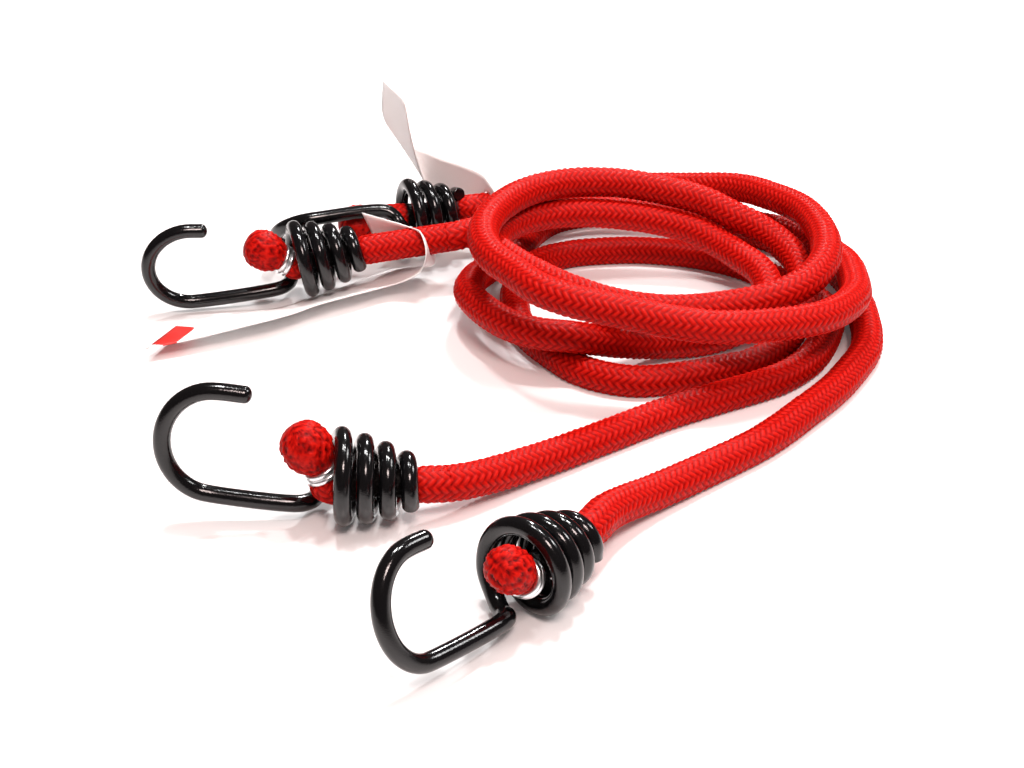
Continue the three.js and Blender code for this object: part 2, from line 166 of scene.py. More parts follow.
# Routes of the two cords between their hooks, with F where they lie on the table
F = FLOOR_Z
ROUTE_A = [
    [0, 68.6, 15], [20, 78.6, 14], [42, 81, 12.6], [62, 77.5, 11.6], [79, 70, 11.8], [87, 60, 12],
    [92.5, 46, 13], [92, 30.5, 15], [88.5, 14, 17.5], [78, -1, 20], [63.5, -9.3, 22], [47, -14, 24],
    [26.5, -11, 26.5], [14, -7.8, 28], [6, -2.5, 28.7], [0.5, 6, 28.8], [-4.5, 14, 28.8],
    [-7.5, 25, 28.8], [-6.8, 37, 28.8], [-2.5, 49, 28.8], [5, 59, 28.8], [15, 65, 28.6], [26, 67, 28.2],
    [37, 67, 27], [54.5, 63.3, 24], [63, 59.5, 21], [70, 56.5, 18.5], [75.5, 52, 16], [79.5, 43, 13.8],
    [79.5, 30, 10], [73.5, 17, 5.5], [66.5, 8.5, 3.4], [60.5, 3.8, F], [54, 1.4, F], [45, -1.8, F],
    [32, -4.4, F], [23.5, -2.2, F], [16.8, 2.3, F], [11, 9.6, F], [5.6, 18.4, F], [1.8, 28, F],
    [0.8, 36.6, F], [0.9, 46, F], [3.4, 57.5, F], [8.6, 66.5, F], [17.4, 71.6, F], [26.5, 73.6, F],
    [39, 74.2, F], [52.7, 71.4, F], [60.4, 68, F], [68, 62.8, F], [78.5, 51, F], [85.5, 40, F],
    [87, 31, F], [84.7, 22.4, F], [81, 13.4, F], [76.8, 6, F], [69, -2.2, F], [61.4, -7.1, F],
    [52.5, -11.8, F], [36, -21.1, F], [25.3, -28.5, F], [11.2, -38.7, 3.7], [4.1, -43.9, 4.3],
    [-5.6, -51.5, 5.8], [-13.7, -56.7, 7.4],
]
ROUTE_B = [
    [12, 88, 14], [26, 93.5, 14], [39, 95.5, 15], [53, 91, 17], [67, 83, 20], [76, 70, 22.3],
    [82.5, 57, 23.5], [84.6, 40, 24], [83.3, 28, 24], [80.7, 20, 24], [76, 12.7, 23.4], [69, 7.2, 22.4],
    [61.6, 5.2, 21], [53.4, 4.7, 19.7], [45, 4.7, 18.8], [35, 6, 18.4], [22.6, 10.5, 18.8],
    [9, 21, 19.6], [0, 32, 20], [-4.6, 40, 20.1], [-4.6, 47, 20.1], [-1, 54, 20.1], [6.6, 59.8, 20.4],
    [19, 62.9, 20.4], [32, 63.3, 19.4], [43, 62.2, 18], [52.2, 59.7, 16.4], [59.6, 54.8, 14],
    [64.5, 48.5, 13], [69, 41, 12], [70, 31, 9.8], [63, 22.5, 5.6], [52.3, 17.5, 3.6], [40.5, 13.6, 4.5],
    [28.9, 8.4, 7.5], [22.5, 5.8, 9.6], [15, 3.7, 11.8], [6.2, 5.3, 12], [-0.4, 9.6, 11.9],
    [-7.5, 19.1, 11.7], [-11.6, 29.7, 11.2], [-10.9, 39.6, 10], [-7.4, 50.8, 8], [-5, 61, 5.4],
    [2, 75, F], [7, 88, F], [14, 97, F], [26, 101.5, F], [41, 101, F], [57, 96, F], [73, 87, F],
    [87.5, 73, F], [95.5, 57, F], [96.8, 40, F], [96.3, 31, F], [95, 20, F], [92.7, 11.5, F],
    [89, 4.5, F], [81, -8, F], [72, -18.8, F], [59.6, -32.5, F], [43.7, -45.6, 3.4], [30.9, -56.6, 4.6],
    [24.8, -62.8, 6.3], [20.1, -68.9, 8], [16.9, -75.2, 9.1],
]
CORDS = [
    dict(name="A", route=ROUTE_A, hooks=(1, 3), leads=(49.5, 135)),
    dict(name="B", route=ROUTE_B, hooks=(2, 4), leads=(49.5, 130)),
]

# Tags in the axes of their hook (along the cord, sideways, up): middle of the strip and half its width
TAGS = {
    1: dict(hook=1, hole=-38.6, body="cord_end_1", strip=[
        [[-23.6, -6, 2.2], [2.1, 1.6, 7.2]], [[-30.2, -6, -1.2], [1, 2.6, 7.2]],
        [[-35.8, -4.6, -2], [1.4, 4.2, 6.4]], [[-38.6, 0, -0.6], [2.2, 5, 5.4]],
        [[-38.4, 2.6, -4.6], [1.6, 6, 4.9]], [[-35.2, 0.6, -8.4], [0.6, 7.3, 2.8]],
        [[-27.5, -3.2, -11.2], [0.2, 7.9, 1.4]], [[-15.7, 1.8, -10.8], [0.1, 7.5, 2]],
        [[-5.5, 6.2, -10.2], [0.4, 7.6, 2.4]], [[4, 11.6, -9.3], [0, 7.7, 2.5]],
        [[15, 14.6, -8.4], [1.4, 7.9, 1.9]], [[25.5, 17.2, -7.6], [2.6, 7.5, 1.1]],
        [[36.9, 18.8, -7.2], [4.5, 8, 1]]]),
    2: dict(hook=2, hole=-27.5, body="tag_2", strip=[
        [[-28.6, 8.2, -1.6], [0, 0, 7]], [[-28, 4, -0.6], [0, 0, 7.8]], [[-27.5, 0, 0], [0, 0, 8]],
        [[-26.5, -4.5, 0.8], [0, 0, 8]], [[-22.5, -8.8, 2.2], [0.4, 0, 8]],
        [[-14, -12.2, 5.8], [1.2, -0.4, 7.9]], [[-7.5, -14.4, 11.4], [3.4, -2.6, 6.8]],
        [[-4.2, -15.6, 20], [3.2, -6.4, 3.6]], [[-3.2, -16, 33], [1.4, -7.8, 0.6]]]),
}

# Looks: colours, and tones from low to high as places on a ramp and colours
RED = (0.6, 0.008, 0.005)
# Low places on this ramp are painted shade: the crevices between yarns and the hollows of the cut ends take
# the dark red, and yarn tops take the lighter red. The cord inside the spiral, pushed below zero, takes the
# near black
RED_TONES = [(0.0, (0.004, 0.003, 0.003)), (0.08, (0.08, 0.0008, 0.0008)), (0.28, (0.08, 0.0008, 0.0008)),
             (0.75, (0.36, 0.003, 0.0015)), (1.0, (0.52, 0.008, 0.004))]
RED_MOTTLE = 0.28
FIBRE_STRETCH = (9.0, 1.2, 1.0)
BLACK = (0.003, 0.003, 0.0035)
BLACK_GLOSS = [(0.3, (0.09, 0.09, 0.09)), (0.75, (0.2, 0.2, 0.2))]
STEEL_GREY = (0.42, 0.42, 0.44)
STEEL_ROUGH = (0.3, 0.5)
ZINC_BRIGHT = (0.9, 0.9, 0.91)
ZINC_ROUGH = (0.24, 0.4)
RUBBER_TAN = (0.6, 0.46, 0.24)
RUBBER_TONES = [(0.3, (0.5, 0.37, 0.18)), (0.7, (0.66, 0.52, 0.29))]
PAPER_WHITE = (0.88, 0.87, 0.86)
PAPER_TONES = [(0.3, (0.84, 0.83, 0.82)), (0.7, (0.9, 0.89, 0.88))]
PATCH_RED = (0.62, 0.02, 0.015, 1)

# Sockets of a mix node: its two colours and their result, or its two numbers
COLOUR_A, COLOUR_B, COLOUR_OUT = 6, 7, 2
NUMBER_A, NUMBER_B = 2, 3

# Floor in metres and its share of glow, and the world as light, as seen, as mirrored and its tint as light
FLOOR_SIZE = 4
FLOOR_WHITE = (0.92, 0.92, 0.92)
FLOOR_GLOW = 0.05
WORLD_LIGHT = 0.22
WORLD_SEEN = 1.0
WORLD_MIRRORED = 0.1
WORLD_WARM = (1, 0.8, 0.77, 1)
WHITE = (1, 1, 1)

# Lights: name, place and width in metres, power, colour, and whether shiny things mirror it
LIGHTS = [
    ("key_left", (-0.12, 0.16, 1.05), 0.1, 4.5, WHITE, True),
    ("key_right", (0.2, 0.16, 1.05), 0.1, 4.5, WHITE, True),
    ("back", (0.12, 0.8, 0.72), 0.1, 6.0, WHITE, True),
    ("right", (0.8, 0.15, 0.8), 0.3, 4.0, WHITE, True),
    ("overhead", (0.02, -0.15, 1.0), 1.0, 3.5, (1, 0.76, 0.72), False),
    ("front", (0.1, -0.6, 0.85), 0.3, 6.5, (1, 0.82, 0.78), True),
]

# Camera: lens and film in millimetres, place in metres, degrees up from straight down
LENS = 51.75
FILM = 36
CAMERA_AT = (-0.032, -0.3234, 0.189)
CAMERA_UP = 60


# Curves and frames

def unit(v):
    return v / np.linalg.norm(v, axis=-1, keepdims=True)


def centripetal(points, per=40):
    """Points along the centripetal Catmull-Rom curve through the given ones."""
    p = np.asarray(points, float)
    p = np.vstack([2 * p[0] - p[1], p, 2 * p[-1] - p[-2]])
    made = []
    for i in range(1, len(p) - 2):
        steps = np.sqrt(np.linalg.norm(np.diff(p[i - 1:i + 3], axis=0), axis=1))
        d0, d1, d2 = np.where(steps < SAME_POINT, 1, steps)
        m1 = ((p[i] - p[i - 1]) / d0 - (p[i + 1] - p[i - 1]) / (d0 + d1) + (p[i + 1] - p[i]) / d1) * d1
        m2 = ((p[i + 1] - p[i]) / d1 - (p[i + 2] - p[i]) / (d1 + d2) + (p[i + 2] - p[i + 1]) / d2) * d1
        t = np.linspace(0, 1, per, endpoint=False)[:, None]
        made.append((2 * t**3 - 3 * t**2 + 1) * p[i] + (t**3 - 2 * t**2 + t) * m1
                    + (3 * t**2 - 2 * t**3) * p[i + 1] + (t**3 - t**2) * m2)
    return np.vstack([*made, p[-2][None]])


def run_of(line):
    return np.concatenate([[0], np.cumsum(np.linalg.norm(np.diff(line, axis=0), axis=1))])


def at_run(line, run, where):
    return np.stack([np.interp(where, run, line[:, k]) for k in range(3)], axis=1)


def directions(line):
    return unit(np.gradient(line, axis=0))


def carried(dirs, first=(0, 0, 1)):
    """Two cross directions for each point, carried along without twist."""
    side = np.cross(first, dirs[0])
    sides = []
    for t in dirs:
        side = unit(side - np.dot(side, t) * t)
        sides.append(side)
    sides = np.array(sides)
    return sides, np.cross(dirs, sides)


def hook_axes(hook):
    """Functions that place points given in a hook's axes, without and with its turn, and its own axis."""
    yaw, tilt, roll = np.radians([hook["yaw"], hook["tilt"], hook["roll"]])
    x = np.array([np.cos(tilt) * np.cos(yaw), np.cos(tilt) * np.sin(yaw), np.sin(tilt)])
    side = np.array([-np.sin(yaw), np.cos(yaw), 0])
    up = np.cross(x, side)
    turned_side = np.cos(roll) * side + np.sin(roll) * up
    turned_up = np.cos(roll) * up - np.sin(roll) * side
    mouth = np.array(hook["mouth"], float) - ORIGIN
    still_axes = np.array([x, side, up])
    turned_axes = np.array([x, turned_side, turned_up])

    def still(points):
        return mouth + np.asarray(points, float) @ still_axes

    def turned(points):
        return mouth + np.asarray(points, float) @ turned_axes

    return still, turned, x


# Materials

def material(name, colour, roughness, **sockets):
    m = bpy.data.materials.new(name)
    m.use_nodes = True
    shader = m.node_tree.nodes["Principled BSDF"]
    shader.inputs["Base Color"].default_value = (*colour, 1)
    shader.inputs["Roughness"].default_value = roughness
    for key, value in sockets.items():
        shader.inputs[key.replace("_", " ")].default_value = value
    return m, m.node_tree.nodes, m.node_tree.links, shader


def node(nodes, kind, **values):
    made = nodes.new(kind)
    for key, value in values.items():
        if key in made.inputs:
            made.inputs[key].default_value = value
        else:
            setattr(made, key, value)
    return made


def ramp(nodes, stops):
    made = nodes.new("ShaderNodeValToRGB")
    for n, (place, colour) in enumerate(stops):
        stop = made.color_ramp.elements[n] if n < 2 else made.color_ramp.elements.new(place)
        stop.position = place
        stop.color = (*colour, 1)
    return made


def mottled(nodes, links, stops, scale, detail):
    """A noise, and the ramp of tones that it drives."""
    noise = node(nodes, "ShaderNodeTexNoise", Scale=scale, Detail=detail)
    tone = ramp(nodes, stops)
    links.new(noise.outputs["Fac"], tone.inputs["Fac"])
    return noise, tone


def bumped(nodes, links, shader, height, strength, distance):
    """Small bumps on a surface, as high as a noise says."""
    bump = node(nodes, "ShaderNodeBump", Strength=strength, Distance=distance)
    links.new(height.outputs["Fac"], bump.inputs["Height"])
    links.new(bump.outputs["Normal"], shader.inputs["Normal"])


def braid_material():
    m, nodes, links, shader = material("red_braid", RED, roughness=0.42, Specular_IOR_Level=0.07)
    lift = node(nodes, "ShaderNodeAttribute", attribute_name="lift")
    noise = node(nodes, "ShaderNodeTexNoise", Scale=420.0, Detail=3.0)
    # Tone follows the yarn height in lift, plus random noise, so the crevices get painted shade
    depth = node(nodes, "ShaderNodeMath", operation="MULTIPLY_ADD")
    depth.inputs[1].default_value = RED_MOTTLE
    links.new(noise.outputs["Fac"], depth.inputs[0])
    links.new(lift.outputs["Fac"], depth.inputs[2])
    tone = ramp(nodes, RED_TONES)
    links.new(depth.outputs[0], tone.inputs["Fac"])
    links.new(tone.outputs["Color"], shader.inputs["Base Color"])
    uv = node(nodes, "ShaderNodeUVMap", uv_map="yarn")
    stretch = node(nodes, "ShaderNodeMapping", Scale=FIBRE_STRETCH)
    links.new(uv.outputs["UV"], stretch.inputs["Vector"])
    fibre = node(nodes, "ShaderNodeTexNoise", Scale=1.0, Detail=2.0)
    links.new(stretch.outputs["Vector"], fibre.inputs["Vector"])
    bumped(nodes, links, shader, fibre, strength=0.35, distance=0.00012)
    return m


def vinyl_material():
    m, nodes, links, shader = material("black_vinyl", BLACK, roughness=0.14)
    _, gloss = mottled(nodes, links, BLACK_GLOSS, scale=240.0, detail=2.0)
    links.new(gloss.outputs["Color"], shader.inputs["Roughness"])
    wave = node(nodes, "ShaderNodeTexNoise", Scale=130.0, Detail=1.0)
    bumped(nodes, links, shader, wave, strength=0.05, distance=0.0006)
    return m


def metal_material(name, colour, rough):
    least, most = rough
    m, nodes, links, shader = material(name, colour, roughness=least, Metallic=1.0)
    stops = [(0.3, (least, least, least)), (0.8, (most, most, most))]
    _, spread = mottled(nodes, links, stops, scale=700.0, detail=3.0)
    links.new(spread.outputs["Color"], shader.inputs["Roughness"])
    return m


def rubber_material():
    m, nodes, links, shader = material("rubber_core", RUBBER_TAN, roughness=0.8)
    _, tone = mottled(nodes, links, RUBBER_TONES, scale=300.0, detail=2.0)
    links.new(tone.outputs["Color"], shader.inputs["Base Color"])
    return m


def paper_material():
    m, nodes, links, shader = material("tag_paper", PAPER_WHITE, roughness=0.5)
    noise, tone = mottled(nodes, links, PAPER_TONES, scale=900.0, detail=4.0)
    edge = node(nodes, "ShaderNodeAttribute", attribute_name="off_patch")
    band = node(nodes, "ShaderNodeMath", operation="LESS_THAN")
    band.inputs[1].default_value = 0.0
    links.new(edge.outputs["Fac"], band.inputs[0])
    mix = node(nodes, "ShaderNodeMix", data_type="RGBA")
    links.new(band.outputs[0], mix.inputs[0])
    links.new(tone.outputs["Color"], mix.inputs[COLOUR_A])
    mix.inputs[COLOUR_B].default_value = PATCH_RED
    links.new(mix.outputs[COLOUR_OUT], shader.inputs["Base Color"])
    bumped(nodes, links, shader, noise, strength=0.1, distance=0.0002)
    return m


BRAID = braid_material()
VINYL = vinyl_material()
STEEL = metal_material("hook_steel", STEEL_GREY, STEEL_ROUGH)
ZINC = metal_material("bright_steel", ZINC_BRIGHT, ZINC_ROUGH)
RUBBER = rubber_material()
PAPER = paper_material()


# Meshes

def add(name, points, faces, look, attributes=(), uv=None):
    mesh = bpy.data.meshes.new(name)
    mesh.from_pydata((np.asarray(points) * MM).tolist(), [], faces)
    mesh.polygons.foreach_set("use_smooth", [True] * len(mesh.polygons))
    for key, values in attributes:
        mesh.attributes.new(key, "FLOAT", "POINT").data.foreach_set("value", np.asarray(values, np.float32))
    if uv is not None:
        loops = np.zeros(len(mesh.loops), np.int32)
        mesh.loops.foreach_get("vertex_index", loops)
        mesh.uv_layers.new(name="yarn").data.foreach_set("uv", np.asarray(uv, np.float32)[loops].ravel())
    mesh.materials.append(look)
    made = bpy.data.objects.new(name, mesh)
    bpy.context.scene.collection.objects.link(made)
    return made


def tube(centres, radii, count):
    """A round tube of plain rings, closed at both ends."""
    dirs = directions(centres)
    a, b = carried(dirs, ASLANT)
    f = 2 * np.pi * np.arange(count) / count
    around = np.cos(f)[None, :, None] * a[:, None] + np.sin(f)[None, :, None] * b[:, None]
    points = (centres[:, None] + around * np.asarray(radii)[:, None, None]).reshape(-1, 3)
    faces = []
    for i in range(len(centres) - 1):
        for k in range(count):
            n = (k + 1) % count
            faces.append((i * count + k, i * count + n, (i + 1) * count + n, (i + 1) * count + k))
    faces.append(tuple(range(count))[::-1])
    faces.append(tuple((len(centres) - 1) * count + k for k in range(count)))
    return points, faces


def yarn_height(a, b):
    """Height of a two-over-two braid where a and b number the yarns of the two ways."""
    best = np.full(np.shape(a), -np.inf)
    for step in (0, 1):
        i = np.floor(a) + step
        over = YARN_WAVE * np.cos(np.pi / 2 * (i + b - 0.5))
        best = np.maximum(best, YARN_ROUND * np.sqrt(np.maximum(0, 1 - (2 * (a - i)) ** 2)) + over)
        j = np.floor(b) + step
        under = -YARN_WAVE * np.cos(np.pi / 2 * (a + j - 0.5))
        best = np.maximum(best, YARN_ROUND * np.sqrt(np.maximum(0, 1 - (2 * (b - j)) ** 2)) + under)
    return best


def lumps(points):
    """Smooth random bumps between about -1 and 1, the same each time."""
    rng = np.random.default_rng(LUMP_SEED)
    total = np.zeros(points.shape[:-1])
    for size, weight in LUMP_MIX:
        for way in unit(rng.normal(size=(LUMP_WAVES, 3))):
            shift = rng.uniform(0, 2 * np.pi)
            total += weight * np.sin(points @ way * 2 * np.pi / size + shift) / LUMP_EVEN
    return np.clip(total, -1, 1)


def braid(first, last, centres, across, radii, ragged, spiral_shade):
    """The braided skin of the rings first to last of a cord, with closed ends."""
    rings = np.arange(first, last + 1)
    row = np.arange(SIDES)
    turn = (row[None] + (rings[:, None] % 2) / 2) / YARN_SIDES
    a = turn + rings[:, None] / YARN_RINGS + 1 / YARN_RINGS
    b = turn - rings[:, None] / YARN_RINGS + 1 / YARN_RINGS
    high = yarn_height(a, b)
    f = 2 * np.pi * turn / YARNS
    side, rise = across
    out = np.cos(f)[..., None] * side[rings][:, None] + np.sin(f)[..., None] * rise[rings][:, None]
    # Height of the yarns as a tone from 0 to 1, which paints shade into the crevices
    lift = np.clip(high / (YARN_ROUND + YARN_WAVE), 0, 1)
    raw = ragged[rings][:, None]
    plain_r = radii[rings][:, None]
    bumps = lumps(centres[rings][:, None] + out * plain_r[..., None])
    high = (1 - raw) * (high + YARN_UNEVEN * bumps) + raw * (YARN_SUNK + LUMP_HIGH * bumps)
    # On the cut ends the tone follows the lumps: painted shade in their hollows
    lift = (1 - raw) * lift + raw * np.clip(LUMP_TONE[0] + LUMP_TONE[1] * bumps, 0, 1)
    # Painted shade inside the spiral: the tone is pulled down to a near black
    lift += (SPIRAL_SHADE_LIFT - lift) * spiral_shade[rings][:, None]
    r = np.maximum(plain_r + (high - YARN_SUNK) * np.minimum(1, plain_r / RELIEF_R), LEAST_R)
    points = centres[rings][:, None] + out * r[..., None]
    points[..., 2] = np.maximum(points[..., 2], TABLE_GAP)
    n = len(rings)
    faces = []
    for i in range(n - 2):
        odd = rings[i] % 2
        left = row if odd else (row - 1) % SIDES
        right = (row + 1) % SIDES if odd else row
        faces += np.stack([i * SIDES + row, (i + 1) * SIDES + right, (i + 2) * SIDES + row,
                           (i + 1) * SIDES + left], axis=1).tolist()
    for i, j, flip in ((0, 1, False), (n - 1, n - 2, True)):
        odd = rings[i] % 2
        tip = (row + 1) % SIDES if odd else row
        edge = np.stack([i * SIDES + row, i * SIDES + (row + 1) % SIDES, j * SIDES + tip], axis=1)
        faces += (edge[:, ::-1] if flip else edge).tolist()
    middle = n * SIDES
    for i, flip in ((0, False), (n - 1, True)):
        centre = middle + (1 if i else 0)
        for q in range(SIDES):
            ring_edge = (i * SIDES + q, i * SIDES + (q + 1) % SIDES)
            faces.append((centre, *ring_edge) if flip else (centre, *ring_edge[::-1]))
    ends = points[[0, -1]].mean(axis=1)
    uv = np.stack([a, b], axis=-1).reshape(-1, 2)
    return (np.vstack([points.reshape(-1, 3), ends]), faces,
            np.concatenate([lift.ravel(), [FACE_TONE, FACE_TONE]]), np.vstack([uv, np.zeros((2, 2))]))


# Cord ends

def spiral_r(turn):
    return MOUTH_R - TAPER * turn - TAPER_MORE * turn * turn


def cord_end(hook):
    """A cord's end: line from its tip out of the hook, radii along it, neck, and run to mouth and cut."""
    still, _, _ = hook_axes(hook)
    bend = centripetal(still([hook["bulb"], *hook["way"][::-1], (BEND_FROM, 0, 0)]), END_POINTS)
    leave = unit(bend[0] - bend[2])
    tip = BULB[0][0]
    beyond = bend[0] + leave * np.linspace(tip, 0, END_POINTS, endpoint=False)[:, None]
    behind = np.linspace(BEND_FROM, -hook["straight"], AXIS_POINTS)[1:]
    line = np.vstack([beyond, bend, still([[v, 0, 0] for v in behind])])
    mouth = tip + run_of(bend)[-1] + BEND_FROM
    radii = [[tip - s, max(r * hook["size"], min(r, NECK_R))] for s, r in BULB]
    radii += [[mouth - v, r] for v, r in CHOKE]
    radii += [[mouth + PITCH * TURNS + d, r] for d, r in SWELL]
    radii += [[mouth + hook["tail"], CORD_R]]
    ring_at = tip + RING_BACK
    neck = at_run(line, run_of(line), np.array([ring_at - NECK_SPAN, ring_at + NECK_SPAN]))
    return dict(line=line, radii=np.array(radii), neck=neck.mean(axis=0), neck_way=unit(neck[0] - neck[1]),
                mouth=mouth, cut=mouth + hook["tail"])


def smooth_radius(table, where):
    rough = np.interp(where, table[:, 0], table[:, 1])
    kernel = np.hanning(2 * SOFT_RINGS + 1)
    padded = np.concatenate([np.full(SOFT_RINGS, rough[0]), rough, np.full(SOFT_RINGS, rough[-1])])
    return np.convolve(padded, kernel / kernel.sum(), "valid")


def make_cord(cord):
    first, last = cord["hooks"]
    ends = {n: cord_end(HOOKS[n]) for n in cord["hooks"]}
    near, far = ends[first]["line"], ends[last]["line"][::-1]
    route = np.array(cord["route"], float) - ORIGIN
    free = centripetal(np.vstack([near[[-JOIN, -1]], route, far[[0, JOIN - 1]]]))
    line = np.vstack([near[:-JOIN], free, far[JOIN:]])
    run = run_of(line)
    total = run[-1]
    dome = DOME_R * (1 - np.cos(np.arange(0, math.pi / 2, RING_STEP / DOME_R)))
    count = round((total - 2 * dome[-1]) / RING_STEP)
    between = np.linspace(dome[-1], total - dome[-1], count + 1)
    where = np.concatenate([dome[:-1], between, (total - dome[:-1])[::-1]])
    centres = at_run(line, run, where)
    soft = centres.copy()
    for _ in range(SOFT_PASSES):
        soft[1:-1] = (soft[:-2] + 2 * soft[1:-1] + soft[2:]) / 4
    across = carried(directions(soft))
    tail_side = total - where
    radii = np.where(where < total / 2, smooth_radius(ends[first]["radii"], where),
                     smooth_radius(ends[last]["radii"], tail_side))
    from_end = np.minimum(where, tail_side) - BULB[0][0]
    ragged = np.clip((RAGGED + RAGGED_FADE - from_end) / RAGGED_FADE, 0, 1)
    # Painted shade on the cord inside each spiral, faded in and out over a millimetre
    spiral_shade = np.zeros(len(where))
    for n, run_here in ((first, where), (last, tail_side)):
        in_spiral = run_here - ends[n]["mouth"]
        spiral_shade += np.clip(in_spiral - SPIRAL_SHADE_SPAN[0], 0, 1) * np.clip(SPIRAL_SHADE_SPAN[1] - in_spiral, 0, 1)
    route_start = ends[first]["cut"] + FACE_GAP / 2
    route_end = total - ends[last]["cut"] - FACE_GAP / 2
    cuts = [0, route_start, route_start + cord["leads"][0], route_end - cord["leads"][1], route_end, total]
    cuts = [int(np.argmin(np.abs(where - c))) for c in cuts]
    names = [f"end_{first}", f"lead_{first}", f"coil_{cord['name']}", f"lead_{last}", f"end_{last}"]
    made = {}
    for name, i, j in zip(names, cuts[:-1], cuts[1:]):
        points, faces, lift, uv = braid(i, j, soft, across, radii, ragged, spiral_shade)
        skin = add(f"{name}_braid", points, faces, BRAID, [("lift", lift)], uv)
        inner = np.arange(i, j + 1, max(1, round(CORE_STEP / RING_STEP)))
        if name.startswith("end"):
            inner = inner[radii[inner] > CORE_LEAST]
        core_r = np.maximum(radii[inner] - COVER_WALL - CORE_GAP, CORE_THIN)
        core_points, core_faces = tube(soft[inner], core_r, CORE_SIDES)
        core_points[:, 2] = np.maximum(core_points[:, 2], COVER_WALL)
        core = add(f"{name}_rubber", core_points, core_faces, RUBBER)
        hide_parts(f"{name}_cover")
        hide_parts(f"{name}_core")
        made[name] = (skin, core, soft[i:j + 1] * MM)
    for n in cord["hooks"]:
        for piece in made[f"end_{n}"][:2]:
            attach(piece, f"cord_end_{n}")
        for piece in made[f"lead_{n}"][:2]:
            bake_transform(piece)
        crimp_ring(n, ends[n]["neck"], ends[n]["neck_way"])
    coil = made[f"coil_{cord['name']}"]
    for piece in coil[:2]:
        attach(piece, "cord_coil")


# Crimp ring: bright wire closed round the neck

def crimp_ring(n, centre, axis):
    side = unit(np.cross(axis, RING_ASLANT))
    rise = np.cross(axis, side)
    f = 2 * np.pi * np.linspace(0, RING_TURNS, RING_POINTS)
    r = NECK_R + FIT + RING_WIRE
    along = np.linspace(-1, 1, len(f)) * RING_TURNS * RING_WIRE
    line = centre + r * (np.cos(f)[:, None] * side + np.sin(f)[:, None] * rise) + along[:, None] * axis
    points, faces = tube(line, np.full(len(line), RING_WIRE), RING_SIDES)
    ring = add(f"crimp_ring_{n}_wire", points, faces, ZINC)
    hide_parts(f"crimp_ring_{n}")
    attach(ring, f"cord_end_{n}")


# Hooks

def hook_path(hook):
    shank, long, high, arm, droop = hook["bow"]
    lean = hook["lean"]
    path = []
    for i in range(round((TURNS - SPIRAL_END) * TURN_STEPS) + 1):
        turn = TURNS - i / TURN_STEPS
        r = spiral_r(turn)
        f = 2 * math.pi * turn
        out = lean * max(0, 1 - turn / LEAN_FROM)
        path.append([out - PITCH * turn, -r * math.sin(f), -r * math.cos(f)])
    path += [[x + lean, y, z - SHANK_DROP] for x, y, z in SHANK_JOIN] + [[shank, 0, -SHANK_DROP]]
    for i in range(1, BOW_STEPS + 1):
        f = math.pi * (i / BOW_STEPS - 0.5)
        path.append([shank + long * math.cos(f), 0, high * (1 + math.sin(f)) - SHANK_DROP])
    path.append([shank - arm, 0, 2 * high - SHANK_DROP - droop])
    return path


def make_hook(n):
    _, turned, _ = hook_axes(HOOKS[n])
    line = centripetal(turned(hook_path(HOOKS[n])), WIRE_POINTS)
    run = run_of(line)
    centres = at_run(line, run, np.linspace(0, run[-1], int(run[-1] / WIRE_STEP)))
    radii = np.full(len(centres), COAT_R)
    dirs = directions(centres)
    tip = np.sin(np.linspace(0, np.pi / 2, TIP_STEPS)[1:])
    caps = [centres[-1] + dirs[-1] * TIP_ROUND * t for t in tip]
    tips = [max(TIP_LEAST, COAT_R * math.cos(math.asin(min(1, t)))) for t in tip]
    blunt = [centres[0] - dirs[0] * BLUNT * t for t in tip[::-1]]
    blunts = [COAT_R - BLUNT + BLUNT * math.cos(math.asin(min(1, t))) for t in tip[::-1]]
    line = np.vstack([blunt, centres, caps])
    points, faces = tube(line, np.concatenate([blunts, radii, tips]), COAT_SIDES)
    coat = add(f"hook_{n}_coat", points, faces, VINYL)
    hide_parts(f"hook_{n}_vinyl_coat")
    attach(coat, f"hook_{n}")


# Paper tags

def patch_distance(offset, across, normal, ahead):
    """Distance from a plain printed patch at the tag's end, rounded at its inner corners."""
    inward = unit(np.cross(normal, across))
    inward = -inward * np.sign(np.dot(inward, ahead))
    long, wide, corner = PATCH
    q = np.stack([offset @ inward - long, np.abs(offset @ across) - wide], axis=1)
    return np.linalg.norm(np.maximum(q, 0), axis=1) + np.minimum(q.max(axis=1), 0) - corner


